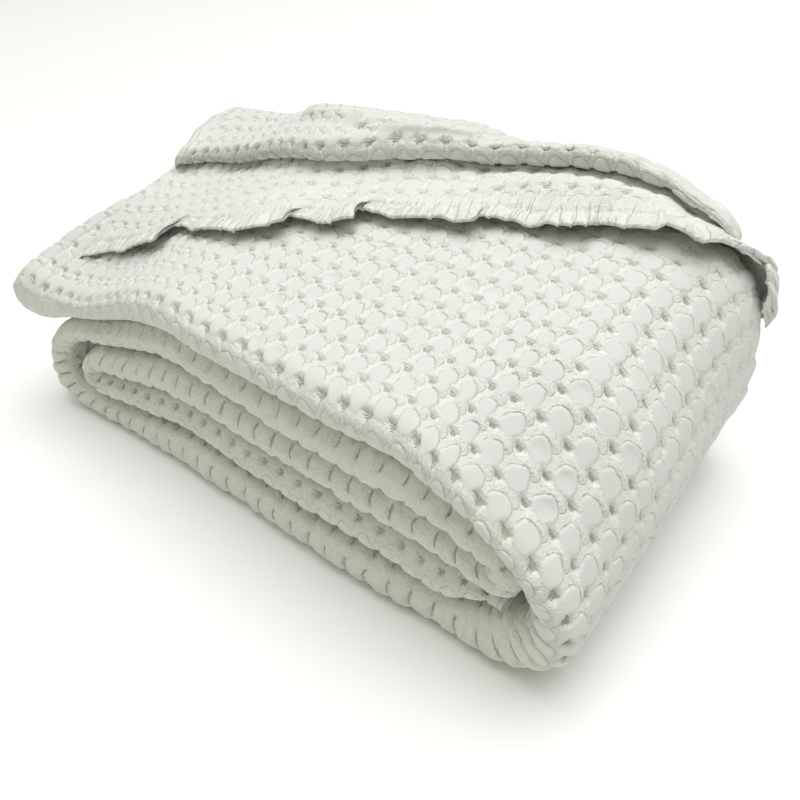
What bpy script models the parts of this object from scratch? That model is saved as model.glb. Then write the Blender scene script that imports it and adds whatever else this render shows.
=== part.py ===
"""Waffle weave cotton blanket, folded: one cloth solid.

The blanket is folded narrow, then rolled flat in fifths, so its near end is
a flat roll of five thick bands.  Its last width lies back over the top: a
thin flap with its hem running aslant, and a round roll above that, joined to
the rest along the back.

Frame: x along the near end (left to right), y from the near end to the back,
z up from the surface the blanket rests on.
"""
import math

import bmesh
import bpy
from mathutils import Vector

# ---- driving sizes (metres) -------------------------------------------------
CELL = 0.016                    # one repeat of the waffle weave
BAND_THICK = 1.68 * CELL        # one band of folded cloth
FRONT_Y = -8.30 * CELL          # near edge of the bands
BACK_Y = 6.70 * CELL            # back edge of the bands
EDGE_WAVE = 0.10 * CELL         # how far the near edge wanders
EDGE_WAVE_LENGTH = 5.3 * CELL

LEFT_OUTER_X = -11.55 * CELL    # middle of the outer turn at the left
LEFT_INNER_X = -10.60 * CELL    # middle of the inner turn at the left
RIGHT_INNER_X = 10.85 * CELL    # middle of the inner turn at the right
RIGHT_OUTER_X = 11.00 * CELL    # middle of the outer turn at the right
TOP_LEFT_X = -17.10 * CELL      # free left end of the top band, before it leans
HEM_END_X = 12.10 * CELL        # hem end of the innermost band
HEM_END_THICK = 0.55 * CELL     # the band thins down to its hem
HEM_REACH = 3.0 * CELL          # over this distance

# height of the middle of each band, and how far it stands out at the near end
BANDS = {
    # height (cells), forward (cells)
    "bottom": (0.84, 0.16),
    "hem": (2.76, 0.05),
    "inner": (4.62, 0.00),
    "second": (6.44, 0.00),
    "top": (8.26, 0.08),
}

# how the pile settles: each part of it grows from a start over a span
RISE = 0.0145                   # heights grow by this part per cell towards the back
BACK_FALL = 0.26                # part of the height lost again at the back edge, left end
BACK_FALL_Y = 3.4 * CELL
BACK_FALL_SPAN = 4.1 * CELL
FALL_KEPT = 0.60                # part of that fall at the right end
FALL_KEPT_X = -8.0 * CELL
FALL_KEPT_SPAN = 10.0 * CELL
LEFT_SLUMP = 0.26               # part of the height lost at the left end
LEFT_LEAN = 0.34                # lean of the left end to the right, per unit of height
LEFT_X = -3.0 * CELL
LEFT_SPAN = -12.0 * CELL
RIGHT_SLUMP = 0.20              # part of the height lost at the near right corner
RIGHT_LEAN = 0.17               # lean of the right end to the left, per unit of height
RIGHT_X = 8.0 * CELL
RIGHT_SPAN = 7.0 * CELL
SLUMP_SPAN = 6.0 * CELL         # the near corners' slump dies out over this depth
BACK_SHARE = 0.30               # part of the slump left at the back
TAPER = 0.9 * CELL              # how far the right side draws in towards the back
TAPER_X = -2.0 * CELL
TAPER_SPAN = 16.0 * CELL
CORNER_OUT = 1.5 * CELL         # the top back corner at the right stands out
CORNER_UP = 0.3 * CELL          # and up
CORNER_Z = 4.2 * CELL
CORNER_Z_SPAN = 6.0 * CELL
CORNER_Y = -1.0 * CELL
CORNER_Y_SPAN = 7.0 * CELL

# the flap and the roll on top
PLY = 0.40 * CELL               # thickness of the flap
APART = 0.12 * CELL             # air between the flap and what it lies on
FLAP_LEFT_W = 2.4 * CELL        # where the flap starts, along the top from its left end
FLAP_RIGHT_W = 31.2 * CELL      # where it ends, past the right shoulder
FLAP_SHORT = 0.35 * CELL        # it stops this far short of the back edge
HEM_WAVE = 0.12 * CELL          # how far its hem wanders
HEM_WAVE_LENGTH = 1.9 * CELL
ROLL_LEFT_W = 1.2 * CELL        # left and right end of the roll, along the top
ROLL_RIGHT_W = 29.6 * CELL
ROLL_BACK_Y = 7.30 * CELL       # outermost back of the roll
ROLL_NOSE = 1.25                # the roll's front is this much longer than high
ROLL_BEND = 0.60 * CELL         # bend over the back edge, at most
ROLL_END = 1.6                  # stations over which each end of the roll closes
ROLL_CLOSE = 0.9                # how far it closes there
SKIRT_DROP = 0.95 * CELL        # how far the cloth comes down behind the top band
SKIRT_IN = 0.75 * CELL          # how deep it is joined into the bands
SKIRT_STEP = 0.12 * CELL        # how far it draws in below the roll
TOP_STATIONS = 26               # stations along the flap and the roll

# along the top from its left end: hem of the flap, front of the roll, roll thickness
TOP_ROWS = (
    # w (cells), hem_y (cells), roll_y (cells), roll_thick (cells)
    (0.0, -6.4, -0.5, 1.40),
    (5.0, -5.7, 0.0, 1.45),
    (10.0, -4.2, 0.8, 1.45),
    (15.0, -1.8, 2.2, 1.35),
    (20.0, 0.9, 4.0, 1.20),
    (25.0, 2.5, 5.2, 1.05),
    (29.0, 3.6, 5.1, 0.95),
    (32.0, 4.4, 4.8, 0.90),
)

STEP = 1.35 * CELL              # station spacing along the straight bands
TURN_STEPS = 9                  # stations round each turn
EDGE_ANGLES = [math.radians(angle) for angle in (10.0, 35.0, 60.0, 90.0)]
BAND_SHARES = (0.08, 0.28, 0.5, 0.72, 0.92)
FLAP_SHARES = (0.12, 0.3, 0.55, 0.8, 1.0)
ROLL_TOP_SHARES = (0.25, 0.6, 1.0)
ROLL_UNDER_SHARES = (0.2, 0.45, 0.7, 0.9, 1.0)
HEM_EDGE = ((0.0, 0.1), (0.15, 0.36), (0.5, 0.5))       # depth and half thickness, in plies

# the free end of the top band closes over these shares of its depth
END_DEPTH = 0.7 * BAND_THICK
END_SHARES = (0.62, 0.34, 0.12, 0.0)
END_LEAST = 0.22                # thickness left at the very end, as a part
END_INSET = 0.3 * BAND_THICK    # how far its near and back edges draw in


# ---- small helpers ----------------------------------------------------------
def ease(value):
    """Smooth step from 0 to 1."""
    value = min(max(value, 0.0), 1.0)
    return value * value * (3.0 - 2.0 * value)


def ramp(value, start, span):
    """Smooth step from 0 at start to 1 after span, which may be negative."""
    return ease((value - start) / span)


def between(rows, column, at):
    """Value of a column of TOP_ROWS at a place along the top, in metres."""
    at = at / CELL
    if at <= rows[0][0]:
        return rows[0][column] * CELL
    for low, high in zip(rows, rows[1:]):
        if at <= high[0]:
            share = (at - low[0]) / (high[0] - low[0])
            share = 0.5 * share + 0.5 * ease(share)
            return (low[column] + (high[column] - low[column]) * share) * CELL
    return rows[-1][column] * CELL


def run(points, x_from, x_to, band):
    """Add stations of a straight band."""
    height, forward = BANDS[band]
    count = max(2, round(abs(x_to - x_from) / STEP))
    for index in range(count + 1):
        x = x_from + (x_to - x_from) * index / count
        points.append((Vector((x, height * CELL)), forward * CELL))


def turn(points, x, band_from, band_to, side):
    """Add stations of a half-round turn about x, bulging to side (+1 right)."""
    low, low_forward = BANDS[band_from]
    high, high_forward = BANDS[band_to]
    middle = (low + high) / 2.0 * CELL
    radius = (high - low) / 2.0 * CELL
    for index in range(1, TURN_STEPS):
        angle = math.pi * index / TURN_STEPS
        point = Vector((x + side * abs(radius) * math.sin(angle),
                        middle - radius * math.cos(angle)))
        share = ease(index / TURN_STEPS)
        points.append((point, (low_forward + (high_forward - low_forward) * share) * CELL))


def roll_path():
    """Middle line of the bands in the x-z plane, hem end first."""
    points = []
    run(points, HEM_END_X, LEFT_INNER_X, "hem")
    turn(points, LEFT_INNER_X, "hem", "inner", -1)
    run(points, LEFT_INNER_X, RIGHT_INNER_X, "inner")
    turn(points, RIGHT_INNER_X, "inner", "second", 1)
    run(points, RIGHT_INNER_X, LEFT_OUTER_X, "second")
    turn(points, LEFT_OUTER_X, "second", "bottom", -1)
    run(points, LEFT_OUTER_X, RIGHT_OUTER_X, "bottom")
    turn(points, RIGHT_OUTER_X, "bottom", "top", 1)
    run(points, RIGHT_OUTER_X, TOP_LEFT_X, "top")
    return points


def with_normals(points):
    """Each station with its normal, its distance from the start and its forward reach."""
    stations = []
    length = 0.0
    for index, (point, forward) in enumerate(points):
        before = points[max(index - 1, 0)][0]
        after = points[min(index + 1, len(points) - 1)][0]
        along = (after - before).normalized()
        if index:
            length += (point - points[index - 1][0]).length
        stations.append((point, Vector((along.y, -along.x)), length, forward))
    return stations


def settle(x, y, z):
    """Let the tidy pile settle: lower, leaning ends and a fuller back."""
    depth = (y - FRONT_Y) / (BACK_Y - FRONT_Y)
    near = 1.0 - (1.0 - BACK_SHARE) * ramp(y, FRONT_Y, SLUMP_SPAN)
    left = ramp(x, LEFT_X, LEFT_SPAN)
    right = ramp(x, RIGHT_X, RIGHT_SPAN)
    fall = BACK_FALL * ramp(y, BACK_FALL_Y, BACK_FALL_SPAN)
    fall *= 1.0 - (1.0 - FALL_KEPT) * ramp(x, FALL_KEPT_X, FALL_KEPT_SPAN)
    corner = right * ramp(z, CORNER_Z, CORNER_Z_SPAN) * ramp(y, CORNER_Y, CORNER_Y_SPAN)
    taper = TAPER * ramp(x, TAPER_X, TAPER_SPAN) * depth
    z *= 1.0 + RISE * (y - FRONT_Y) / CELL - fall
    z *= 1.0 - LEFT_SLUMP * left * near
    z *= 1.0 - RIGHT_SLUMP * right * (near - BACK_SHARE) / (1.0 - BACK_SHARE)
    x += LEFT_LEAN * z * left - RIGHT_LEAN * z * right * near - taper
    return Vector((x + CORNER_OUT * corner, y, z + CORNER_UP * corner))


def loft(name, loops):
    """Closed body through equal loops, each an upper and a lower row of points.

    The end caps are strips between the two rows, so they follow a curved loop.
    """
    mesh = bpy.data.meshes.new(name)
    bm = bmesh.new()
    rings = [[bm.verts.new(point) for point in upper + list(reversed(lower))]
             for upper, lower in loops]
    size = len(rings[0])
    for ring, following in zip(rings, rings[1:]):
        for index in range(size):
            other = (index + 1) % size
            bm.faces.new((ring[index], ring[other], following[other], following[index]))
    for ring in (rings[0], rings[-1]):
        for index in range(size // 2 - 1):
            bm.faces.new((ring[index], ring[index + 1],
                          ring[size - 2 - index], ring[size - 1 - index]))
    bmesh.ops.recalc_face_normals(bm, faces=bm.faces)
    bm.to_mesh(mesh)
    bm.free()
    body = bpy.data.objects.new(name, mesh)
    bpy.context.scene.collection.objects.link(body)
    return body


# ---- the rolled bands -------------------------------------------------------
def band_loop(station, thick, inset):
    """Flat loop with round near and back edges, square to the band."""
    point, normal, length, forward = station
    half = thick / 2.0
    wave = EDGE_WAVE * math.sin(length / EDGE_WAVE_LENGTH)
    near = FRONT_Y + wave - forward + inset + half
    back = BACK_Y - half - inset
    profile = [(near - half * math.cos(angle), half * math.sin(angle))
               for angle in EDGE_ANGLES]
    profile += [(near + (back - near) * share, half) for share in BAND_SHARES]
    profile += [(back + half * math.cos(angle), half * math.sin(angle))
                for angle in reversed(EDGE_ANGLES)]
    return tuple([settle(point.x + normal.x * out * side, y, point.y + normal.y * out * side)
                  for y, out in profile] for side in (1, -1))


def bands():
    """The five bands as one long loft from the hem end to the top's left end."""
    stations = with_normals(roll_path())
    end_point, end_normal, total, end_forward = stations[-1]
    loops = []
    for station in stations:
        length = station[2]
        if length <= total - END_DEPTH:
            thin = ease(length / HEM_REACH)
            loops.append(band_loop(station, HEM_END_THICK + (BAND_THICK - HEM_END_THICK) * thin, 0.0))
    for share in END_SHARES:
        closing = math.sqrt(1.0 - (1.0 - share) ** 2)
        point = Vector((end_point.x + share * END_DEPTH, end_point.y))
        loops.append(band_loop((point, end_normal, total, end_forward),
                               BAND_THICK * max(closing, END_LEAST),
                               (1.0 - closing) * END_INSET))
    return loft("blanket", loops)


# ---- the flap and the roll --------------------------------------------------
def top_stations(w_from, w_to):
    """Stations measured along the top from its left end, over the right shoulder."""
    path = with_normals(list(reversed(roll_path())))
    stations = []
    for index in range(TOP_STATIONS + 1):
        w = w_from + (w_to - w_from) * index / TOP_STATIONS
        for low, high in zip(path, path[1:]):
            if low[2] <= w <= high[2]:
                share = (w - low[2]) / max(high[2] - low[2], 1e-9)
                point = low[0].lerp(high[0], share)
                normal = -low[1].lerp(high[1], share).normalized()
                stations.append((point, normal, w))
                break
    return stations


def lift(station, y, out):
    """Point above the top surface at depth y."""
    point, normal, _ = station
    out += BAND_THICK / 2.0
    return settle(point.x + normal.x * out, y, point.y + normal.y * out)


def flap():
    """One thickness of cloth lying on the top band, its hem aslant."""
    loops = []
    back = BACK_Y - FLAP_SHORT
    for station in top_stations(FLAP_LEFT_W, FLAP_RIGHT_W):
        wave = HEM_WAVE * math.sin(station[2] / HEM_WAVE_LENGTH)
        hem = between(TOP_ROWS, 1, station[2]) + wave
        edge = [(hem + PLY * depth, half) for depth, half in HEM_EDGE]
        edge += [(hem + (back - hem) * share, 0.5) for share in FLAP_SHARES]
        loops.append(tuple([lift(station, y, APART + PLY * (0.5 + half * side))
                            for y, half in edge] for side in (1, -1)))
    return loft("flap", loops)


def roll_loop(station, full):
    """Section of the roll: round nose, flat crest, bend and skirt down the back."""
    front = between(TOP_ROWS, 2, station[2]) + (1.0 - full) * CELL
    thick = between(TOP_ROWS, 3, station[2]) * full
    low = APART * 2.0 + PLY
    high = low + thick
    nose = thick / 2.0
    bend = min(nose, ROLL_BEND)
    start = front + nose * ROLL_NOSE
    rim = [(start - nose * ROLL_NOSE * math.cos(angle), nose * math.sin(angle))
           for angle in EDGE_ANGLES]
    crest_end = ROLL_BACK_Y - bend
    upper = [(y, low + nose + out) for y, out in rim]
    upper += [(start + (crest_end - start) * share, high) for share in ROLL_TOP_SHARES]
    upper += [(ROLL_BACK_Y - bend * 0.3, high - bend * 0.3), (ROLL_BACK_Y, high - bend),
              (ROLL_BACK_Y, low), (ROLL_BACK_Y - SKIRT_STEP, -0.4 * SKIRT_DROP),
              (BACK_Y - SKIRT_STEP, -SKIRT_DROP)]
    inside = BACK_Y - SKIRT_IN
    lower = [(y, low + nose - out) for y, out in rim]
    lower += [(start + (inside - SKIRT_STEP - start) * share, low) for share in ROLL_UNDER_SHARES]
    lower += [(inside, low - PLY / 2.0), (inside, -0.3 * SKIRT_DROP), (inside, -0.8 * SKIRT_DROP)]
    return tuple([lift(station, y, out) for y, out in row] for row in (upper, lower))


def roll():
    """The doubled cloth above the flap, round in front, down over the back."""
    loops = []
    for index, station in enumerate(top_stations(ROLL_LEFT_W, ROLL_RIGHT_W)):
        end = min(index, TOP_STATIONS - index) / ROLL_END
        full = math.sqrt(1.0 - max(0.0, 1.0 - end) ** 2 * ROLL_CLOSE)
        loops.append(roll_loop(station, full))
    return loft("roll", loops)


def unite(body, other):
    """Add another body to this one, then drop it."""
    joint = body.modifiers.new("join " + other.name, "BOOLEAN")
    joint.operation = "UNION"
    joint.solver = "EXACT"
    joint.object = other
    graph = bpy.context.evaluated_depsgraph_get()
    mesh = bpy.data.meshes.new_from_object(body.evaluated_get(graph))
    body.modifiers.clear()
    body.data = mesh
    bpy.data.objects.remove(other)


def cotton():
    """Off-white cotton."""
    material = bpy.data.materials.new("cotton")
    material.use_nodes = True
    shader = material.node_tree.nodes["Principled BSDF"]
    shader.inputs["Base Color"].default_value = (0.84, 0.83, 0.78, 1.0)
    shader.inputs["Roughness"].default_value = 0.9
    return material


def build():
    for item in list(bpy.data.objects):
        bpy.data.objects.remove(item)
    blanket = bands()
    unite(blanket, flap())
    unite(blanket, roll())
    bm = bmesh.new()
    bm.from_mesh(blanket.data)
    bmesh.ops.dissolve_degenerate(bm, edges=bm.edges, dist=1e-5)
    bmesh.ops.triangulate(bm, faces=bm.faces)
    lowest = min(vert.co.z for vert in bm.verts)
    left = min(vert.co.x for vert in bm.verts)
    right = max(vert.co.x for vert in bm.verts)
    near = min(vert.co.y for vert in bm.verts)
    back = max(vert.co.y for vert in bm.verts)
    shift = Vector((-(left + right) / 2.0, -(near + back) / 2.0, -lowest))
    bmesh.ops.translate(bm, verts=bm.verts, vec=shift)
    bm.to_mesh(blanket.data)
    bm.free()
    blanket.data.materials.clear()
    blanket.data.materials.append(cotton())
    blanket.data.shade_smooth()
    blanket.data.set_sharp_from_angle(angle=math.radians(50.0))


build()
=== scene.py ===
"""Waffle weave cotton blanket, folded: cloth, stage and camera.

The blanket is folded narrow, then rolled flat in fifths.  Its last width lies
back over the top: a flap with a hem, and a round roll above it.

Every surface is a sheet measured in cells of the weave, u along the near end
and v from front to back, laid on the folds and then given the waffle relief.
"""
import math

import bpy
import numpy as np
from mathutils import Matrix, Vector


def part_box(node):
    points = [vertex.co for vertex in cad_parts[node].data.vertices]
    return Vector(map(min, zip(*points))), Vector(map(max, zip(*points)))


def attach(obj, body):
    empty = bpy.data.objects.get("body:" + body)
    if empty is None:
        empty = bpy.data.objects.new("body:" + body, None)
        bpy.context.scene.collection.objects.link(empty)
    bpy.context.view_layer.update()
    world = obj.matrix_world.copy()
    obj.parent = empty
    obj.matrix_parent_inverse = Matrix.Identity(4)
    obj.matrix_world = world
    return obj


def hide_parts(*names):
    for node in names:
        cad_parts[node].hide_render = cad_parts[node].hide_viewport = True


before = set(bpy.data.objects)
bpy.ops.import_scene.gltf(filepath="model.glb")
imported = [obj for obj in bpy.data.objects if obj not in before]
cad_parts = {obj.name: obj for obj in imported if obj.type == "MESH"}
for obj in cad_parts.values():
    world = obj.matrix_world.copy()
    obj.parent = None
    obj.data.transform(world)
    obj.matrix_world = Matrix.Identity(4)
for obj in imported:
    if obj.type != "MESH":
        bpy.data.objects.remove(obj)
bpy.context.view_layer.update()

bl_info = {
    "name": "Folded waffle blanket",
    "version": (1, 0, 0),
    "blender": (4, 5, 0),
    "location": "3D View > Sidebar > Blanket",
    "description": "Makes a folded waffle weave cotton blanket and its stage",
    "category": "Object",
}

CELL = 0.016                    # one repeat of the weave, in metres
PILE_X = 0.044                  # middle of the folds, in cells from the frame's

# ---- the folds, all in cells ------------------------------------------------
BAND_HALF = 0.84                # half the thickness of one band
FRONT_Y, BACK_Y = -8.30, 6.70   # near and back edges of the bands
EDGE_WAVE = 0.10                # the near edges wave in and out by this much
EDGE_WAVE_LENGTH = 5.3
LEFT_OUTER_X, LEFT_INNER_X = -11.55, -10.60     # where the turns begin
RIGHT_INNER_X, RIGHT_OUTER_X = 11.85, 11.00
TOP_LEFT_X = -17.10             # free left end of the top band
HEM_END_X = 12.75               # the cloth ends here, inside the right turn
HEM_END_HALF = 0.275            # half its thickness there
HEM_REACH = 3.0                 # it thins over this length
HEM_CLOSE = 0.12                # and is rounded off over this one
BANDS = {
    # height of its middle, how far it stands out at the near end
    "bottom": (0.84, 0.16),
    "hem": (2.76, 0.05),
    "inner": (4.62, 0.00),
    "second": (6.44, 0.00),
    "top": (8.26, 0.08),
}
# how the tidy pile settles: amounts, then where each starts and its span
RISE = 0.0145                   # the bands are this much fuller for each cell back
BACK_FALL, BACK_FALL_Y, BACK_FALL_SPAN = 0.26, 3.4, 4.1
FALL_KEPT, FALL_KEPT_X, FALL_KEPT_SPAN = 0.60, -8.0, 10.0
LEFT_SLUMP, LEFT_LEAN, LEFT_X, LEFT_SPAN = 0.26, 0.34, -3.0, -12.0
RIGHT_SLUMP, RIGHT_LEAN, RIGHT_X, RIGHT_SPAN = 0.20, 0.17, 8.0, 7.0
SLUMP_SPAN, BACK_SHARE = 6.0, 0.30
TAPER, TAPER_X, TAPER_SPAN = 0.9, -2.0, 16.0
CORNER_OUT, CORNER_UP = 1.5, 0.3
CORNER_Z, CORNER_Z_SPAN, CORNER_Y, CORNER_Y_SPAN = 4.2, 6.0, -1.0, 7.0
HEM_BASE = (
    # along the top, depth of the flap's hem
    (0.0, -6.4),
    (5.0, -5.7),
    (10.0, -4.2),
    (15.0, -1.8),
    (20.0, 0.9),
    (25.0, 2.5),
    (29.0, 3.6),
    (32.0, 4.4),
)
ROLL_LINE = (
    # along the top, front of the roll, its underside above the top, thickness
    (0.0, -0.60, 0.55, 0.86),
    (5.0, 0.35, 0.55, 0.90),
    (10.0, 0.90, 0.58, 0.95),
    (13.6, 1.45, 0.60, 0.95),
    (16.9, 2.85, 0.60, 0.92),
    (20.0, 4.30, 0.66, 0.90),
    (22.0, 5.00, 1.00, 0.92),
    (24.0, 5.30, 1.30, 0.88),
    (26.0, 5.50, 1.42, 0.76),
    (27.6, 5.70, 1.22, 0.60),
    (28.6, 5.75, 0.70, 0.44),
    (29.5, 5.80, 0.34, 0.30),
    (30.6, 5.90, 0.26, 0.22),
)
ROLL_BACK_Y = 7.30

# ---- the weave on the folds -------------------------------------------------
TOP_U = -23.8                   # weave column at the left end of the top band
SHOULDER_V = -1.91              # weave row where the top meets its near edge
EDGE_STRETCH = 1.35             # the weave opens this much round an edge
NOSE = math.pi / 2.0 * BAND_HALF / EDGE_STRETCH     # weave rows in half an edge
FLAT = BACK_Y - FRONT_Y - 2.0 * BAND_HALF           # flat depth of a band
BACK_V = SHOULDER_V + FLAT
END_DEPTH = 0.60                # the left end of the top closes over this depth
END_ARC = 1.30                  # weave columns in that end
END_INSET = 0.12                # its corners are rounded by this much
LEFT_FULL = (0.6, 2.8)          # where the free end is fullest, and over what span
LEFT_PUFF = 0.50                # it stands this much fuller on top
LEFT_SAG = 1.35                 # and this much fuller below, at its near corner
LEFT_SLANT = 1.7                # its back lies this much further in
TURN_PUFF, TURN_PUFF_U, TURN_PUFF_SPAN = 0.8, 14.2, 2.8     # fullness inside the right turn
HEM_LIFT, HEM_INSET = 1.00, 0.32    # the innermost hem is tucked up under the band above
FRONT_BOW, FRONT_BOW_X, FRONT_BOW_SPAN = 0.50, -5.0, 6.0    # the middle of the front lies back
# unevenness: strength, seed and size of each noise
NEAR_NOISE = ((0.10, 5, 2.3), (0.05, 6, 1.1))
BACK_NOISE = ((0.10, 7, 2.9),)


# ---- small helpers ----------------------------------------------------------
def ease(value):
    """Smooth step from 0 to 1."""
    value = np.clip(value, 0.0, 1.0)
    return value * value * (3.0 - 2.0 * value)


def ramp(value, start, span):
    """Smooth step from 0 at start to 1 after span, which may be negative."""
    return ease((value - start) / span)


def soft_noise(u, v, seed, size=1.0):
    """Smooth noise from -1 to 1 with one bump for each size."""
    table = np.random.default_rng(seed).uniform(-1.0, 1.0, (61, 61))
    u, v = np.broadcast_arrays(np.asarray(u, float) / size, np.asarray(v, float) / size)
    i, j = np.floor(u).astype(int), np.floor(v).astype(int)
    a, b = ease(u - i), ease(v - j)
    low = table[i % 61, j % 61] * (1.0 - a) + table[(i + 1) % 61, j % 61] * a
    high = table[i % 61, (j + 1) % 61] * (1.0 - a) + table[(i + 1) % 61, (j + 1) % 61] * a
    return low * (1.0 - b) + high * b


def uneven(u, v, parts):
    """Sum of soft noises; each part is (strength, seed, size)."""
    return sum(strength * soft_noise(u, v, seed, size) for strength, seed, size in parts)


def bell(value, middle, span):
    """1 at the middle, fading to 0 on both sides."""
    return np.exp(-((value - middle) / span) ** 2)


def positions(*parts):
    """Places along a sheet; each part is (from, to, steps to a cell)."""
    places = []
    for start, stop, density in parts:
        count = max(1, round((stop - start) * density))
        places += [start + (stop - start) * index / count for index in range(count)]
    return np.array(places + [parts[-1][1]])


# ---- the pile ---------------------------------------------------------------
def settle(x, y, z):
    """Let the tidy pile settle: lower, leaning ends and a fuller back."""
    depth = (y - FRONT_Y) / (BACK_Y - FRONT_Y)
    near = 1.0 - (1.0 - BACK_SHARE) * ramp(y, FRONT_Y, SLUMP_SPAN)
    left = ramp(x, LEFT_X, LEFT_SPAN)
    right = ramp(x, RIGHT_X, RIGHT_SPAN)
    fall = BACK_FALL * ramp(y, BACK_FALL_Y, BACK_FALL_SPAN)
    fall = fall * (1.0 - (1.0 - FALL_KEPT) * ramp(x, FALL_KEPT_X, FALL_KEPT_SPAN))
    corner = right * ramp(z, CORNER_Z, CORNER_Z_SPAN) * ramp(y, CORNER_Y, CORNER_Y_SPAN)
    taper = TAPER * ramp(x, TAPER_X, TAPER_SPAN) * depth
    z = z * (1.0 + RISE * (y - FRONT_Y) - fall)
    z = z * (1.0 - LEFT_SLUMP * left * near)
    z = z * (1.0 - RIGHT_SLUMP * right * (near - BACK_SHARE) / (1.0 - BACK_SHARE))
    x = x + LEFT_LEAN * z * left - RIGHT_LEAN * z * right * near - taper
    return x + CORNER_OUT * corner, y, z + CORNER_UP * corner


PATH_STEPS = 8                  # places to a cell along the middle line of the bands
TURN_STEPS = 64                 # and round each turn


def roll_path():
    """Middle line of the bands from the top's left end, as a fine table.

    Columns: distance w, x, z, normal x, normal z, forward reach.
    """
    points = []

    def run(x_from, x_to, band):
        height, forward = BANDS[band]
        count = max(2, round(abs(x_to - x_from) * PATH_STEPS))
        for index in range(count + 1):
            points.append((x_from + (x_to - x_from) * index / count, height, forward))

    def turn(x, band_from, band_to, side):
        low, low_forward = BANDS[band_from]
        high, high_forward = BANDS[band_to]
        middle, radius = (low + high) / 2.0, (high - low) / 2.0
        for index in range(1, TURN_STEPS):
            angle = math.pi * index / TURN_STEPS
            share = float(ease(index / TURN_STEPS))
            points.append((x + side * abs(radius) * math.sin(angle),
                           middle - radius * math.cos(angle),
                           low_forward + (high_forward - low_forward) * share))

    run(TOP_LEFT_X, RIGHT_OUTER_X, "top")
    turn(RIGHT_OUTER_X, "top", "bottom", 1)
    run(RIGHT_OUTER_X, LEFT_OUTER_X, "bottom")
    turn(LEFT_OUTER_X, "bottom", "second", -1)
    run(LEFT_OUTER_X, RIGHT_INNER_X, "second")
    turn(RIGHT_INNER_X, "second", "inner", 1)
    run(RIGHT_INNER_X, LEFT_INNER_X, "inner")
    turn(LEFT_INNER_X, "inner", "hem", -1)
    run(LEFT_INNER_X, HEM_END_X, "hem")
    table = np.array(points)
    steps = np.hypot(np.diff(table[:, 0]), np.diff(table[:, 1]))
    table = table[np.concatenate(([True], steps > 1e-9))]
    steps = np.hypot(np.diff(table[:, 0]), np.diff(table[:, 1]))
    w = np.concatenate(([0.0], np.cumsum(steps)))
    along = np.gradient(table[:, :2], w, axis=0)
    along /= np.linalg.norm(along, axis=1)[:, None]
    return np.column_stack((w, table[:, 0], table[:, 1], -along[:, 1], along[:, 0], table[:, 2]))


PATH = roll_path()
PATH_END = PATH[-1, 0]


def on_path(w):
    """x, z, normal x, normal z and forward reach at a distance along the path."""
    x, z, nx, nz, forward = (np.interp(w, PATH[:, 0], column) for column in PATH[:, 1:].T)
    size = np.hypot(nx, nz)
    return x, z, nx / size, nz / size, forward


def depth_share(v):
    """0 at the near edge of a band, 1 at its back edge, above and below."""
    under = (SHOULDER_V - 2.0 * NOSE - v) / FLAT
    behind = 1.0 - (v - BACK_V - 2.0 * NOSE) / FLAT
    share = np.where(v < SHOULDER_V - NOSE, under, (v - SHOULDER_V) / FLAT)
    return np.clip(np.where(v > BACK_V + NOSE, behind, share), 0.0, 1.0)


def band_point(u, v):
    """Place on the skin of the rolled bands for a place on the weave."""
    c = u - TOP_U
    share = depth_share(v)
    closed = (c - END_DEPTH + END_ARC - SPARE) / (END_ARC - SPARE)
    closing = np.clip(closed, 0.0, 1.0) * math.pi / 2.0
    w = np.where(c < END_DEPTH, END_DEPTH * (1.0 - np.cos(closing)), c)
    w = w + LEFT_SLANT * ease(share / 0.45) * (1.0 - ease(c / 7.0))
    half = BAND_HALF * np.sin(closing) ** 0.5
    from_hem = PATH_END - w
    thin = HEM_END_HALF + (BAND_HALF - HEM_END_HALF) * ease(from_hem / HEM_REACH)
    half = np.where(from_hem < HEM_REACH, thin, half)
    rounded = np.sqrt(np.clip(1.0 + from_hem / HEM_CLOSE, 0.0, 1.0))
    half = half * np.where(from_hem < 0.0, rounded, 1.0)
    inset = (1.0 - np.sin(closing)) * END_INSET
    x, z, nx, nz, forward = on_path(w)
    z = z + HEM_LIFT * (1.0 - ease(from_hem / HEM_REACH))
    wave = EDGE_WAVE * np.sin(from_hem / EDGE_WAVE_LENGTH)
    near = FRONT_Y + wave - forward + inset + half
    near = near + uneven(c, 0.0, NEAR_NOISE) + FRONT_BOW * bell(x, FRONT_BOW_X, FRONT_BOW_SPAN)
    near = near + HEM_INSET * (1.0 - ease(from_hem / HEM_REACH))
    back = BACK_Y - half - inset + uneven(c, 0.0, BACK_NOISE)
    y = near + (back - near) * share
    out = half * np.where((v > SHOULDER_V - NOSE) & (v < BACK_V + NOSE), 1.0, -1.0)
    angle = np.clip((v - SHOULDER_V + NOSE) / NOSE, -1.0, 1.0) * math.pi / 2.0
    front = (v < SHOULDER_V) & (v > SHOULDER_V - 2.0 * NOSE)
    y = np.where(front, near - half * np.cos(angle), y)
    out = np.where(front, half * np.sin(angle), out)
    angle = np.clip((v - BACK_V - NOSE) / NOSE, -1.0, 1.0) * math.pi / 2.0
    rear = (v > BACK_V) & (v < BACK_V + 2.0 * NOSE)
    y = np.where(rear, back + half * np.cos(angle), y)
    out = np.where(rear, -half * np.sin(angle), out)
    side = np.clip(out / BAND_HALF, -1.0, 1.0)
    end = bell(c, *LEFT_FULL)
    puff = LEFT_PUFF * end * (1.0 - 0.7 * ease(share / 0.5))
    sag = LEFT_SAG * end * (1.0 - ease(share / 0.35))
    inside = TURN_PUFF * bell(u, TURN_PUFF_U, TURN_PUFF_SPAN)
    below = np.minimum(side, 0.0)
    out = out + puff * np.maximum(side, 0.0) + inside * below - sag * np.sqrt(-below)
    return settle(x + nx * out, y, z + nz * out)


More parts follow.
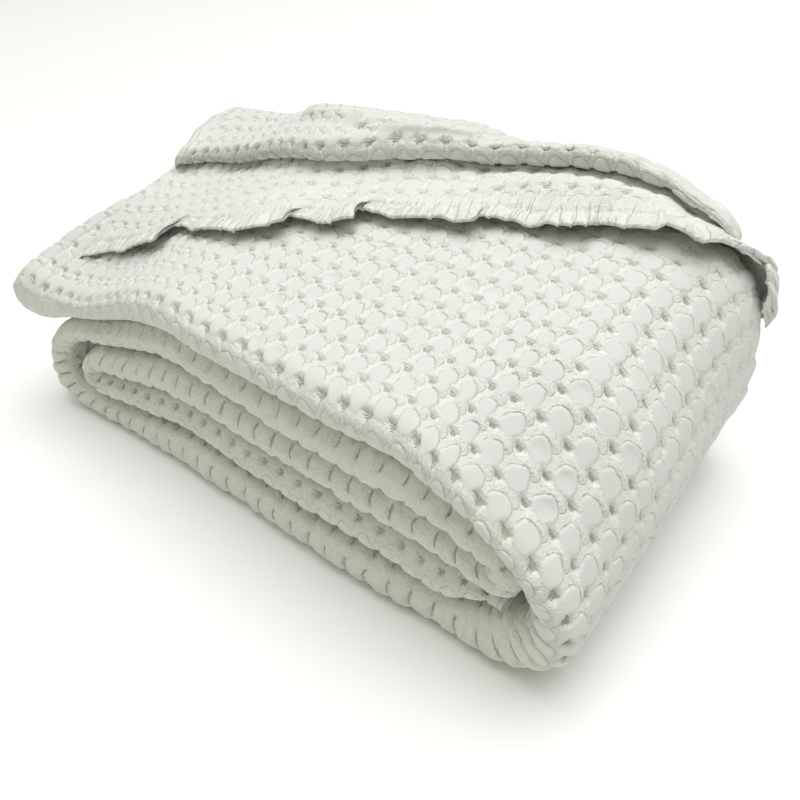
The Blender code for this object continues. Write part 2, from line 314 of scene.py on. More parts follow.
def between(table, column, w):
    """A column of a table at a place along the top."""
    rows = np.array(table)
    at = np.clip(w, rows[0, 0], rows[-1, 0])
    index = np.clip(np.searchsorted(rows[:, 0], at, side="right") - 1, 0, len(rows) - 2)
    share = (at - rows[index, 0]) / (rows[index + 1, 0] - rows[index, 0])
    share = 0.5 * share + 0.5 * ease(share)
    return rows[index, column] * (1.0 - share) + rows[index + 1, column] * share


def lift(w, y, out):
    """Place above the top surface, measured along the top from its left end."""
    x, z, nx, nz, _ = on_path(w)
    out = out + BAND_HALF
    return settle(x + nx * out, y, z + nz * out)


# ---- sheets of weave --------------------------------------------------------
SHARES = ("relief", "open", "barrel")
SPARE = 0.16                    # the weave wanders by no more than this
WANDER_U = ((0.065, 11, 1.3), (0.08, 12, 3.1))
WANDER_V = ((0.065, 13, 1.3), (0.08, 14, 3.1))
# the net's lines ring each disc: steps to a cell, and how far out each ring is
RING_STEPS = 14
RING_PLACES = np.arange(RING_STEPS // 2 + 1) / RING_STEPS
RING_RADII = (0.0, 0.12, 0.22, 0.30, 0.345, 0.385, 0.43, 0.5)
RING_SQUARE = (0.0, 0.0, 0.0, 0.0, 0.0, 0.0, 0.5, 1.0)


def round_rings(u, v):
    """Move the net of a sheet so that its lines ring each disc of the weave."""
    a, b = u - np.round(u), v - np.round(v)
    reach = np.maximum(np.abs(a), np.abs(b))
    length = np.maximum(np.hypot(a, b), 1e-9)
    radius = np.interp(reach, RING_PLACES, RING_RADII)
    square = np.interp(reach, RING_PLACES, RING_SQUARE)
    ringed = (1.0 - square) * radius / length
    return np.round(u) + a * (ringed + square), np.round(v) + b * (ringed + square)


def weave_net(columns, rows, place, relief=None, openness=None, barrel=None):
    """Net of places on a sheet: points in cells, weave places and shares."""
    u, v = round_rings(*np.meshgrid(columns, rows))
    points = np.stack(place(u + uneven(u, v, WANDER_U), v + uneven(u, v, WANDER_V)), axis=-1)
    shares = {
        "relief": np.ones_like(u) if relief is None else relief(u, v),
        "open": np.zeros_like(u) if openness is None else openness(u, v),
        "barrel": np.zeros_like(u) if barrel is None else barrel(u, v),
    }
    return points, np.stack((u, v), axis=-1), shares


def to_frame(points):
    """Cells of the pile to metres in the frame."""
    _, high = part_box("blanket")
    offset = np.array((PILE_X, high.y / CELL - ROLL_BACK_Y, 0.0))
    return (points + offset) * CELL


def sheet_mesh(name, points, weave, shares, keep=None):
    """Mesh of a net, with its weave places as a UV map and its shares as attributes."""
    rows, columns = points.shape[:2]
    index = np.arange(rows * columns).reshape(rows, columns)
    quads = np.stack((index[:-1, :-1], index[:-1, 1:], index[1:, 1:], index[1:, :-1]), axis=-1)
    if keep is not None:
        quads = quads[keep]
    quads = quads.reshape(-1, 4)
    used = np.unique(quads)
    lookup = np.full(rows * columns, -1)
    lookup[used] = np.arange(len(used))
    quads = lookup[quads]
    mesh = bpy.data.meshes.new(name)
    mesh.vertices.add(len(used))
    mesh.vertices.foreach_set("co", points.reshape(-1, 3)[used].astype(np.float32).ravel())
    mesh.loops.add(quads.size)
    mesh.loops.foreach_set("vertex_index", quads.astype(np.int32).ravel())
    mesh.polygons.add(len(quads))
    mesh.polygons.foreach_set("loop_start", np.arange(0, quads.size, 4, dtype=np.int32))
    mesh.update(calc_edges=True)
    places = weave.reshape(-1, 2)[used]
    layer = mesh.uv_layers.new(name="weave")
    layer.data.foreach_set("uv", places[quads.ravel()].astype(np.float32).ravel())
    for label, values in shares.items():
        attribute = mesh.attributes.new(label, "FLOAT", "POINT")
        attribute.data.foreach_set("value", values.ravel()[used].astype(np.float32))
    mesh.polygons.foreach_set("use_smooth", np.ones(len(quads), dtype=bool))
    return mesh, used


# ---- formulas as nodes ------------------------------------------------------
class Term:
    """A value in a node tree that can be added and multiplied like a number."""

    def __init__(self, tree, socket):
        self.tree = tree
        self.socket = socket

    def do(self, operation, *others):
        node = self.tree.nodes.new("ShaderNodeMath")
        node.operation = operation
        for value, socket in zip((self,) + others, node.inputs):
            if isinstance(value, Term):
                self.tree.links.new(value.socket, socket)
            else:
                socket.default_value = value
        return Term(self.tree, node.outputs[0])

    def __add__(self, other):
        return self.do("ADD", other)

    def __sub__(self, other):
        return self.do("SUBTRACT", other)

    def __mul__(self, other):
        return self.do("MULTIPLY", other)

    def __truediv__(self, other):
        return self.do("DIVIDE", other)

    __radd__ = __add__
    __rmul__ = __mul__

    def __rsub__(self, other):
        return (self * -1.0) + other

    def step(self, low, high):
        """Smooth step from 0 at low to 1 at high."""
        node = self.tree.nodes.new("ShaderNodeMapRange")
        node.interpolation_type = "SMOOTHSTEP"
        self.tree.links.new(self.socket, node.inputs["Value"])
        node.inputs["From Min"].default_value = low
        node.inputs["From Max"].default_value = high
        return Term(self.tree, node.outputs["Result"])

    def wrapped(self):
        """Distance from the nearest whole number."""
        return self - self.do("ROUND")

    def joined(self, other, soft):
        """The higher of two values, with a soft crease between them."""
        return self.do("SMOOTH_MAX", other, soft)


def cell_chances(u, v, seed):
    """Three chances from 0 to 1, the same all over one cell."""
    tree = u.tree
    place = tree.nodes.new("ShaderNodeCombineXYZ")
    tree.links.new(u.do("ROUND").socket, place.inputs["X"])
    tree.links.new(v.do("ROUND").socket, place.inputs["Y"])
    place.inputs["Z"].default_value = seed
    noise = tree.nodes.new("ShaderNodeTexWhiteNoise")
    noise.noise_dimensions = "3D"
    tree.links.new(place.outputs["Vector"], noise.inputs["Vector"])
    parts = tree.nodes.new("ShaderNodeSeparateXYZ")
    tree.links.new(noise.outputs["Color"], parts.inputs["Vector"])
    return [Term(tree, socket) for socket in parts.outputs]


def soft_field(u, v, scale, detail=0.0):
    """Smooth noise over the weave, from about -0.3 to 0.3."""
    tree = u.tree
    place = tree.nodes.new("ShaderNodeCombineXYZ")
    tree.links.new(u.socket, place.inputs["X"])
    tree.links.new(v.socket, place.inputs["Y"])
    noise = tree.nodes.new("ShaderNodeTexNoise")
    noise.inputs["Scale"].default_value = scale
    noise.inputs["Detail"].default_value = detail
    tree.links.new(place.outputs["Vector"], noise.inputs["Vector"])
    return Term(tree, noise.outputs["Fac"]) - 0.5


# ---- one repeat of the weave, in cells, with the middle of each part --------
DISC_RADIUS = 0.372
DISC_DROP = 0.25                # the discs stand this high above their creases
TONGUE = (0.09, 0.455)
TONGUE_REACH, TONGUE_RADIUS = 0.17, 0.19
LIP, LIP_SIZE = (0.04, -0.34), (0.40, 0.17)
PIT, PIT_SIZE = (0.53, 0.67), (0.29, 0.13)
SLOPE, SLOPE_SIZE = (0.46, 0.14), (0.16, 0.20)
GROOVE_ROW = 0.69
BARREL_END = (0.5, 0.10)        # where one barrel meets the next


def oval(u, v, middle, size):
    """Squared distance from the nearest oval, 1 on its edge."""
    a, b = (u - middle[0]).wrapped(), (v - middle[1]).wrapped()
    return (a * a) * (1.0 / size[0] ** 2) + (b * b) * (1.0 / size[1] ** 2)


def weave_relief(u, v, openness, barrel):
    """Height of the waffle weave in cells, with where its parts lie.

    Smooth discs stand on whole numbers of u and v.  Behind each lies a fluffy
    tongue that ends over a pit, and in front of each a low lip.  Where the
    cloth is stretched open round an edge, a groove runs behind each row, and
    where it is pulled tight the discs give way to barrels with a slit between.
    """
    a, b = u.wrapped(), v.wrapped()
    chance = cell_chances(u, v, 1.0)
    wobble = soft_field(u, v, 2.6)
    radius = ((a * a + b * b).do("SQRT") + wobble * 0.16) / (DISC_RADIUS + (chance[0] - 0.5) * 0.02)
    dimple = chance[2].step(0.90, 0.93) * (1.0 - radius.step(0.2, 0.9))
    disc_top = (chance[1] - 0.5) * 0.04 - dimple * 0.12 + b * 0.10
    disc = disc_top - radius.step(0.90, 1.08) * DISC_DROP

    tongue_u, tongue_v = u - TONGUE[0], v - TONGUE[1]
    chance = cell_chances(tongue_u, tongue_v, 2.0)
    c = tongue_u.wrapped()
    d = tongue_v.wrapped() + c * 0.13
    end = (c.do("ABSOLUTE") - TONGUE_REACH - openness * 0.06).do("MAXIMUM", 0.0)
    across = openness * 0.06 + TONGUE_RADIUS + (chance[0] - 0.5) * 0.02
    across = (end * end + d * d).do("SQRT") / across
    dome = (1.0 - across * across).do("MAXIMUM", 0.0).do("SQRT")
    crease = (c - (chance[1] - 0.5) * 0.3).do("ABSOLUTE").step(0.0, 0.06)
    crease = (1.0 - crease) * chance[2].step(0.85, 0.9)
    tongue = dome * (0.29 + (chance[1] - 0.5) * 0.08) - 0.28 - crease * 0.06

    lip = (1.0 - oval(u, v, LIP, LIP_SIZE)).do("MAXIMUM", 0.0).do("SQRT") * 0.24 - 0.28
    shaded_pit = 1.0 - oval(u, v, PIT, PIT_SIZE).do("SQRT").step(0.35, 1.15)
    row = (v - GROOVE_ROW).wrapped().do("ABSOLUTE")
    groove = (1.0 - row.step(0.06, 0.24)) * openness
    fill = -0.06 - shaded_pit * 0.25 - groove * 0.26
    waffle = disc.joined(tongue, 0.02).joined(lip, 0.04).joined(fill, 0.04)
    on_disc = 1.0 - (radius + soft_field(u, v, 9.0, 1.0) * 0.16).step(0.87, 0.98)
    on_tongue = (1.0 - across.step(0.85, 1.0)) * (1.0 - on_disc)
    slope = oval(u, v, SLOPE, SLOPE_SIZE)
    # the far rims of the discs and the ends of the tongues, where painted shade darkens the crease
    far_rim = radius.step(0.93, 1.01) * (1.0 - radius.step(1.03, 1.14)) * b.step(-0.10, 0.15)
    far_end = across.step(0.90, 1.02) * (1.0 - across.step(1.04, 1.25)) * c.step(0.12, 0.30)

    barrel_u, barrel_v = u - BARREL_END[0], v - BARREL_END[1]
    chance = cell_chances(barrel_u, barrel_v, 3.0)
    slit_v = barrel_v.wrapped()
    bow = (1.0 - slit_v * slit_v * 9.0) * (0.10 + (chance[0] - 0.5) * 0.08)
    slit_u = (barrel_u.wrapped() - bow + slit_v * (chance[1] - 0.5) * 0.35).do("ABSOLUTE")
    reach = slit_v.do("ABSOLUTE")
    pinch = (1.0 - slit_u.step(0.0, 0.20)) * (1.0 - reach.step(0.12, 0.42))
    slit = (1.0 - slit_u.step(0.012, 0.05)) * (1.0 - reach.step(0.20, 0.32))
    tight_and_shade = -0.04 - pinch * 0.12 - slit * 0.06 - a * a * 0.34
    tight_and_shade = tight_and_shade + wobble * 0.14 + soft_field(u, v, 5.0, 2.0) * 0.17
    plain = 1.0 - barrel
    rim = (far_rim + far_end * (1.0 - on_disc)).do("MINIMUM", 1.0)
    return {
        "height": waffle * plain + tight_and_shade * barrel,
        "disc": on_disc * plain,
        "rim": rim * plain,
        "slit": slit * barrel,
        "barrel": barrel,
        "tongue": on_tongue * plain,
        "slope": (1.0 - slope.step(0.4, 1.2)) * (1.0 - on_disc) * (1.0 - on_tongue) * plain,
        # darkest where the relief lies deepest: the mask for the painted shade in the pits
        "shaded_pit": (1.0 - waffle.step(-0.30, -0.17)) * plain,
    }


def relief_tree():
    """Geometry Nodes tree that lays the waffle relief on a sheet."""
    tree = bpy.data.node_groups.new("waffle relief", "GeometryNodeTree")
    interface = tree.interface
    interface.new_socket("Sheet", in_out="INPUT", socket_type="NodeSocketGeometry")
    for label, default in (("Cell", CELL), ("Relief", 1.0)):
        socket = interface.new_socket(label, in_out="INPUT", socket_type="NodeSocketFloat")
        socket.default_value = default
    interface.new_socket("Cotton", in_out="INPUT", socket_type="NodeSocketMaterial")
    interface.new_socket("Sheet", in_out="OUTPUT", socket_type="NodeSocketGeometry")
    nodes, links = tree.nodes, tree.links
    entry = nodes.new("NodeGroupInput")
    leave = nodes.new("NodeGroupOutput")
    weave = nodes.new("GeometryNodeInputNamedAttribute")
    weave.data_type = "FLOAT_VECTOR"
    weave.inputs["Name"].default_value = "weave"
    shares = []
    for label in SHARES:
        share = nodes.new("GeometryNodeInputNamedAttribute")
        share.data_type = "FLOAT"
        share.inputs["Name"].default_value = label
        shares.append(Term(tree, share.outputs["Attribute"]))
    parts = nodes.new("ShaderNodeSeparateXYZ")
    links.new(weave.outputs["Attribute"], parts.inputs["Vector"])
    u, v = Term(tree, parts.outputs["X"]), Term(tree, parts.outputs["Y"])
    height = weave_relief(u, v, *shares[1:])["height"] * shares[0]
    height = height * Term(tree, entry.outputs["Relief"]) * Term(tree, entry.outputs["Cell"])
    normal = nodes.new("GeometryNodeInputNormal")
    scale = nodes.new("ShaderNodeVectorMath")
    scale.operation = "SCALE"
    links.new(normal.outputs["Normal"], scale.inputs[0])
    links.new(height.socket, scale.inputs["Scale"])
    move = nodes.new("GeometryNodeSetPosition")
    links.new(entry.outputs["Sheet"], move.inputs["Geometry"])
    links.new(scale.outputs["Vector"], move.inputs["Offset"])
    realize = nodes.new("GeometryNodeRealizeInstances")
    links.new(move.outputs["Geometry"], realize.inputs["Geometry"])
    paint = nodes.new("GeometryNodeSetMaterial")
    links.new(realize.outputs["Geometry"], paint.inputs["Geometry"])
    links.new(entry.outputs["Cotton"], paint.inputs["Material"])
    links.new(paint.outputs["Geometry"], leave.inputs["Sheet"])
    return tree


THREADS, CORDS, FINE_THREADS = 17.0, 16.0, 26.0     # to a cell: on tongues, in pits, on discs
BUMP_DEPTH = 0.035              # in cells


def cotton(colours):
    """Off-white cotton: smooth discs, fluffy tongues, with painted shade in the pits, creases and slits
    and a painted olive shade on the edges of the bands.
    """
    material = bpy.data.materials.new("waffle cotton")
    material.use_nodes = True
    tree = material.node_tree
    nodes, links = tree.nodes, tree.links
    shader = nodes["Principled BSDF"]
    shader.inputs["Roughness"].default_value = 0.85
    shader.inputs["Specular IOR Level"].default_value = 0.25
    shader.inputs["Sheen Weight"].default_value = 0.15
    shader.inputs["Sheen Roughness"].default_value = 0.5
    uv = nodes.new("ShaderNodeUVMap")
    uv.uv_map = "weave"
    parts = nodes.new("ShaderNodeSeparateXYZ")
    links.new(uv.outputs["UV"], parts.inputs["Vector"])
    shares = []
    for label in SHARES:
        share = nodes.new("ShaderNodeAttribute")
        share.attribute_name = label
        shares.append(Term(tree, share.outputs["Fac"]))
    u, v = Term(tree, parts.outputs["X"]), Term(tree, parts.outputs["Y"])
    relief = weave_relief(u, v, *shares[1:])
    relief = {label: term * shares[0] for label, term in relief.items()}

    def mix(share, first, second):
        node = nodes.new("ShaderNodeMix")
        node.data_type = "RGBA"
        links.new(share.socket, node.inputs["Factor"])
        for value, socket in ((first, node.inputs["A"]), (second, node.inputs["B"])):
            if isinstance(value, bpy.types.NodeSocket):
                links.new(value, socket)
            else:
                socket.default_value = (*value, 1.0)
        return node.outputs["Result"]

    fluff = soft_field(u, v, 10.0, 3.0)
    fibre = soft_field(u * 1.4, v, 40.0, 1.0)
    loose = (1.0 - relief["disc"]) * (1.0 - relief["slope"] * 0.6)
    colour = mix(relief["disc"], colours["cotton"], colours["disc"])
    colour = mix(relief["slope"], colour, colours["slope"])
    # painted shade: the pits are darkened where the weave lies deepest
    colour = mix(relief["shaded_pit"] * 0.5, colour, colours["shaded_pit"])
    # painted shade: a thin dark line in the crease behind each disc and tongue
    colour = mix(relief["rim"] * 0.28, colour, colours["rim"])
    # painted shade: an olive tint on the tightly pulled lower edges, the open edges of the bands and
    # the roll's front, where shade falls
    colour = mix(relief["barrel"].step(0.0, 0.3) * 0.5 + shares[1] * 0.3, colour, colours["tight_and_shade"])
    # painted shade: the slits between the barrels are darkened with the crease shade colour
    colour = mix(relief["slit"] * 0.55, colour, colours["rim"])
    plain = 1.0 - shares[0]
    pleats = soft_field(u * 2.3, v * 0.4, 1.0, 1.0)
    tucks = (1.0 - pleats.do("ABSOLUTE").step(0.0, 0.04)) * plain
    # painted shade: the creases of the hem's tucks are darkened
    colour = mix(tucks * 0.35, colour, colours["rim"])
    speck = ((fluff + fibre) * loose * 0.32 + fibre * 0.05 + 1.0).do("MINIMUM", 1.1)
    tint = nodes.new("ShaderNodeVectorMath")
    tint.operation = "SCALE"
    links.new(colour, tint.inputs[0])
    links.new(speck.socket, tint.inputs["Scale"])
    links.new(tint.outputs["Vector"], shader.inputs["Base Color"])

    threads = ((u + fluff * 0.05) * (math.tau * THREADS)).do("SINE")
    cords = (v * (math.tau * CORDS)).do("SINE")
    weave = (u * (math.tau * FINE_THREADS)).do("SINE") * (v * (math.tau * FINE_THREADS)).do("SINE")
    bumps = threads * relief["tongue"] * 0.16 + cords * relief["shaded_pit"] * 0.8
    bumps = bumps - relief["rim"] * 0.7 - relief["slit"] * 1.3
    bumps = bumps + weave * relief["disc"] * 0.05 + fluff * loose * 2.0 + fluff * 0.14
    bumps = bumps + pleats * plain * 2.6 - tucks * 0.9
    bump = nodes.new("ShaderNodeBump")
    bump.inputs["Strength"].default_value = 1.0
    bump.inputs["Distance"].default_value = BUMP_DEPTH * CELL
    links.new(bumps.socket, bump.inputs["Height"])
    links.new(bump.outputs["Normal"], shader.inputs["Normal"])
    return material


def lay_weave(name, net, keep=None, margins=(0, 0)):
    """Lay the relief on a sheet and return it as a finished piece.

    margins are the spare columns at the two ends, there only for smooth joins.
    """
    material = blanket_cotton()
    points, weave, shares = net
    mesh, used = sheet_mesh(name, to_frame(points), weave, shares, keep)
    piece = bpy.data.objects.new(name, mesh)
    bpy.context.scene.collection.objects.link(piece)
    tree = bpy.data.node_groups.get("waffle relief") or relief_tree()
    modifier = piece.modifiers.new("waffle", "NODES")
    modifier.node_group = tree
    inputs = {item.name: item.identifier for item in tree.interface.items_tree
              if item.item_type == "SOCKET" and item.in_out == "INPUT"}
    modifier[inputs["Cell"]] = CELL
    modifier[inputs["Relief"]] = bpy.context.scene.waffle_blanket.relief
    modifier[inputs["Cotton"]] = material
    graph = bpy.context.evaluated_depsgraph_get()
    woven = bpy.data.meshes.new_from_object(piece.evaluated_get(graph))
    piece.modifiers.clear()
    places = np.zeros(len(woven.vertices) * 3, np.float32)
    woven.vertices.foreach_get("co", places)
    normals = np.zeros(len(woven.vertices) * 3, np.float32)
    woven.vertex_normals.foreach_get("vector", normals)
    places, normals = places.reshape(-1, 3), normals.reshape(-1, 3)
    places[:, 2] = np.maximum(places[:, 2], 0.0)
    shape = points.shape
    woven_points = np.zeros(shape)
    woven_points.reshape(-1, 3)[used] = places
    woven_normals = np.zeros(shape)
    woven_normals.reshape(-1, 3)[used] = normals
    end = shape[1] - margins[1]
    part = (slice(None), slice(margins[0], end))
    keep = None if keep is None else keep[:, margins[0]:end - 1]
    shares = {label: values[part] for label, values in shares.items()}
    final, used = sheet_mesh(name, woven_points[part], weave[part], shares, keep)
    final.normals_split_custom_set_from_vertices(woven_normals[part].reshape(-1, 3)[used])
    final.materials.append(material)
    piece.data = final
    bpy.data.meshes.remove(mesh)
    bpy.data.meshes.remove(woven)
    return piece


def declare(piece, flat):
    """Hide the CAD blanket and hang the piece under the root body."""
    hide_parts("blanket")
    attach(piece, "root")


# ---- settings ---------------------------------------------------------------
def paint(name, description, default):
    """Property for a colour."""
    return bpy.props.FloatVectorProperty(name=name, description=description, default=default,
                                         subtype="COLOR", size=3, min=0.0, max=1.0)


class BlanketSettings(bpy.types.PropertyGroup):
    """The blanket's colours and the strength of its relief"""
    relief: bpy.props.FloatProperty(
        name="Relief", description="Strength of the waffle relief",
        subtype="FACTOR", default=0.88, min=0.0, max=1.5)
    cotton: paint("Cotton", "Colour of the fluffy parts of the weave", (0.815, 0.813, 0.775))
    disc: paint("Disc", "Colour of the smooth discs of the weave", (0.765, 0.765, 0.735))
    slope: paint("Slope", "Colour of the smooth slopes between the discs", (0.79, 0.788, 0.73))
    # painted shade: the colour that darkens the pits where the weave lies deepest
    shaded_pit: paint("Pit", "Colour down in the pits of the weave", (0.66, 0.67, 0.51))
    # painted shade: the dark colour laid in the creases behind the discs, in the slits and in the hem's
    # tucks
    rim: paint("Rim", "Colour of the crease behind each disc", (0.55, 0.56, 0.42))
    # painted shade: the olive tint laid on the edges of the bands, which turn away from the lamp
    tight_and_shade: paint("Tight", "Colour of the weave pulled tight round the lower edges", (0.80, 0.80, 0.66))


class StageSettings(bpy.types.PropertyGroup):
    """Floor, light and lens"""
    floor: paint("Floor", "Colour of the floor", (0.97, 0.968, 0.965))
    overhead: bpy.props.FloatProperty(
        name="Overhead", description="Strength of the soft light from straight above",
        default=1.02, min=0.0)
    around: bpy.props.FloatProperty(
        name="Around", description="Strength of the soft light from the sides",
        default=0.10, min=0.0)
    lamp: bpy.props.FloatProperty(
        name="Lamp", description="Power of the lamp above",
        unit="POWER", default=58.0, min=0.0)
    lens: bpy.props.FloatProperty(
        name="Lens", description="Focal length of the camera",
        unit="CAMERA", default=38.7, min=10.0, max=200.0)


COLOURS = ("cotton", "disc", "slope", "shaded_pit", "rim", "tight_and_shade")


def blanket_cotton():
    """The blanket's material, made once."""
    found = bpy.data.materials.get("waffle cotton")
    if found:
        return found
    settings = bpy.context.scene.waffle_blanket
    return cotton({key: tuple(getattr(settings, key)) for key in COLOURS})


# ---- pieces -----------------------------------------------------------------
SLIT = 0.02                     # open slit under each band, half its width
UNDER = FLAT / 2.0 - SLIT
LOW_V = SHOULDER_V - 2.0 * NOSE - UNDER
HIGH_V = BACK_V + 2.0 * NOSE + UNDER
# weave columns where one piece meets the next
TOP_JOIN, RIGHT_JOIN, UNDER_JOIN, INNER_JOIN = -18.0, 4.0, 17.0, 48.0
# weave rows where the underside turns to the near edge, and where the back edge ends
UNDER_ROW, NEAR_ROW, BACK_ROW = -6.5, -5.0, 15.5
HIDDEN = 0.8                    # steps to a cell where nothing shows
FINE, PLAIN = 14, 12            # steps to a cell where the weave shows well, and less so
MARGIN = 2                      # spare columns at a join


def band_rows(*shown):
    """Rows of weave across a band, with its hidden sides added."""
    return positions((LOW_V, shown[0][0], HIDDEN), *shown, (shown[-1][1], HIGH_V, HIDDEN))


def joined_columns(first, last, steps):
    """Columns between two joins, with the spare ones."""
    return positions((first - MARGIN / steps, last + MARGIN / steps, steps))


def lay_band(name, columns, rows, looks, margins=(MARGIN, MARGIN)):
    """Lay one stretch of the bands; looks are the last arguments of weave_net."""
    piece = lay_weave(name, weave_net(columns, rows, *looks), margins=margins)
    length = columns[len(columns) - 1 - margins[1]] - columns[margins[0]]
    declare(piece, (length * CELL, (HIGH_V - LOW_V) * CELL))


def hidden_relief(u, v):
    """Relief fades out between the bands."""
    return ramp(v, -6.4, 1.4) * ramp(v, 15.6, -1.4)


def band_open(u, v):
    """The weave opens where it goes round the near and back edges."""
    near = ramp(v, SHOULDER_V + 0.3, -0.7) * ramp(v, SHOULDER_V - 2.0 * NOSE - 0.3, 0.7)
    back = ramp(v, BACK_V, 0.7) * ramp(v, BACK_V + 2.0 * NOSE, -0.7)
    return (near + back) * (ramp(u, 17.0, -4.0) + 0.5 * ramp(u, 95.0, 3.0))


# rows of weave wander along the spiral: weave column, rows they shift
DRIFT_U = (12.0, 18.0, 38.0, 47.0, 70.0, 75.0, 95.0, 100.0)
DRIFT_V = (0.0, 0.10, 0.10, 0.42, 0.42, 0.30, 0.30, 0.10)


def drifted_point(u, v):
    """Place on the bands where the rows of weave wander a little."""
    return band_point(u, v - np.interp(u, DRIFT_U, DRIFT_V))


def band_barrel(u, v):
    """The lower bands are pulled tight round their near edges."""
    tight_and_shade = ramp(u, 11.0, 4.0) * (1.0 - 0.75 * ramp(u, 95.0, 3.0))
    return tight_and_shade * ramp(v, -1.55, -0.5) * ramp(v, -4.3, 0.5)


def calm_relief(u, v):
    """The outside of the left turn is smoother."""
    inside = ramp(u, 23.0, -4.0) * ramp(v, -3.5, -1.0)
    outside = ramp(u, 35.0, 4.0) * ramp(v, -2.2, 0.5)
    return hidden_relief(u, v) * (1.0 - 0.5 * outside) * (1.0 - 0.85 * inside)


def top_relief(u, v):
    """The near edge of the top is smooth towards its left end."""
    smooth = ramp(u, -10.0, -5.0) * ramp(v, -2.5, -0.5) * ramp(v, -6.0, 0.8)
    return hidden_relief(u, v) * (1.0 - 0.75 * smooth)


def turn_relief(u, v):
    """The relief dies out on the inside of the right turn."""
    inside = ramp(u, 11.0, 2.0) * ramp(v, -3.5, -1.0)
    return hidden_relief(u, v) * (1.0 - 0.85 * inside)


class BLANKET_OT_top(bpy.types.Operator):
    """Make the top band with its free left end"""
    bl_idname = "blanket.top"
    bl_label = "Top band"

    def execute(self, context):
        start = TOP_U + END_DEPTH - END_ARC

        def end_relief(u, v):
            return ramp(u, start + 0.02, 0.35) * top_relief(u, v)

        columns = positions((start, -24.0, PLAIN), (-24.0, TOP_JOIN + MARGIN / FINE, FINE))
        rows = positions((LOW_V, -10.0, 8), (-10.0, NEAR_ROW, 8), (NEAR_ROW, 13.0, FINE),
                         (13.0, HIGH_V, 8))
        lay_band("top_left_end", columns, rows, (band_point, end_relief, band_open), (0, MARGIN))
        columns = joined_columns(TOP_JOIN, RIGHT_JOIN, FINE)
        rows = band_rows((UNDER_ROW, NEAR_ROW, 6), (NEAR_ROW, 10.0, FINE), (10.0, BACK_ROW, 7))
        lay_band("top_band", columns, rows, (band_point, top_relief, band_open))
        return {"FINISHED"}


class BLANKET_OT_turns(bpy.types.Operator):
    """Make the right turn, the underside and the left turn"""
    bl_idname = "blanket.turns"
    bl_label = "Turns and underside"

    def execute(self, context):
        columns = joined_columns(RIGHT_JOIN, UNDER_JOIN, FINE)
        rows = band_rows((UNDER_ROW, NEAR_ROW, 6), (NEAR_ROW, 13.0, FINE), (13.0, BACK_ROW, 7))
        looks = (drifted_point, turn_relief, band_open, band_barrel)
        lay_band("right_turn", columns, rows, looks)
        columns = joined_columns(UNDER_JOIN, INNER_JOIN, PLAIN)
        rows = band_rows((UNDER_ROW, NEAR_ROW, 6), (NEAR_ROW, 0.0, PLAIN), (0.0, BACK_ROW, 8))
        looks = (drifted_point, calm_relief, None, band_barrel)
        lay_band("underside_and_left_turn", columns, rows, looks)
        return {"FINISHED"}


class BLANKET_OT_inner(bpy.types.Operator):
    """Make the inner bands, which show at their near and back edges"""
    bl_idname = "blanket.inner"
    bl_label = "Inner bands"

    def execute(self, context):
        stop = TOP_U + PATH_END + HEM_CLOSE + SPARE

        def edge_relief(u, v):
            near = ramp(v, -6.4, 1.4) * ramp(v, 0.3, -1.0)
            back = ramp(v, 10.2, 1.0) * ramp(v, 15.0, -1.0)
            return (near + back) * ramp(u, stop - 0.4, -0.6)

        last = math.floor(stop)
        columns = positions((INNER_JOIN - MARGIN / PLAIN, last, PLAIN), (last, stop, PLAIN))
        rows = band_rows((UNDER_ROW, NEAR_ROW, 4), (NEAR_ROW, -1.0, PLAIN), (-1.0, 0.5, 4),
                         (0.5, 10.0, HIDDEN), (10.0, 15.0, 5))
        looks = (drifted_point, edge_relief, band_open, band_barrel)
        lay_band("inner_bands", columns, rows, looks, (MARGIN, 0))
        return {"FINISHED"}


# ---- the flap and the roll --------------------------------------------------
# Each row is a place of the flap's hem: along the hem, then where its edge
# lies along the top, how far back, and how high it stands off.
HEM_LINE = (
    (2.40, 2.45, -6.15, 0.10),
    (5.20, 5.20, -5.50, 0.10),
    (8.60, 8.90, -5.05, 0.40),
    (8.95, 7.90, -3.95, 0.10),
    (11.0, 10.8, -3.95, 0.05),
    (13.4, 13.4, -3.60, 0.10),
    (15.2, 15.3, -2.40, 0.40),
    (15.5, 14.8, -1.70, 0.10),
    (16.6, 16.6, -1.55, 0.10),
    (17.5, 17.7, -1.00, 0.40),
    (17.8, 17.1, -0.10, 0.10),
    (19.0, 18.8, 0.05, 0.10),
    (20.3, 20.2, 0.45, 0.10),
    (22.0, 22.3, 0.95, 0.30),
    (22.3, 22.1, 1.50, 0.10),
    (23.3, 23.2, 1.80, 0.10),
    (24.3, 24.2, 1.85, 0.10),
    (26.3, 26.5, 2.35, 0.35),
    (26.6, 26.5, 2.85, 0.15),
    (27.4, 27.4, 2.95, 0.20),
    (28.4, 28.5, 2.95, 0.40),
    (28.6, 28.6, 3.30, 0.45),
    (29.4, 29.5, 3.40, 0.35),
    (29.9, 29.7, 4.00, 0.35),
    (30.5, 30.0, 4.80, 0.28),
    (31.2, 30.5, 5.85, 0.32),
    (31.6, 30.8, 5.50, 0.18),
    (32.1, 31.4, 5.25, 0.10),
    (32.6, 31.9, 5.50, -0.12),
)
FLAP_LEFT, FLAP_RIGHT = 2.40, 32.60
ROLL_LEFT, ROLL_RIGHT = 1.15, 29.7
FLAP_REST = 0.34                # height of the flap's middle above the top
FLAP_HALF = 0.07                # half its thickness
HEM_WIDTH = 0.68                # width of its sewn hem
HEM_FADE = 2.3                  # depth over which the hem's tucks die out
STEP_FADE = 0.85                # and over which its overlapping steps do
FLAP_OVER = 6.05                # from this depth it bends down over the back edge
FLAP_BACK = 6.74                # and this is where it ends
FLAP_BEND, FLAP_DROP = 0.75, 0.62   # how far back and how far down that bend goes
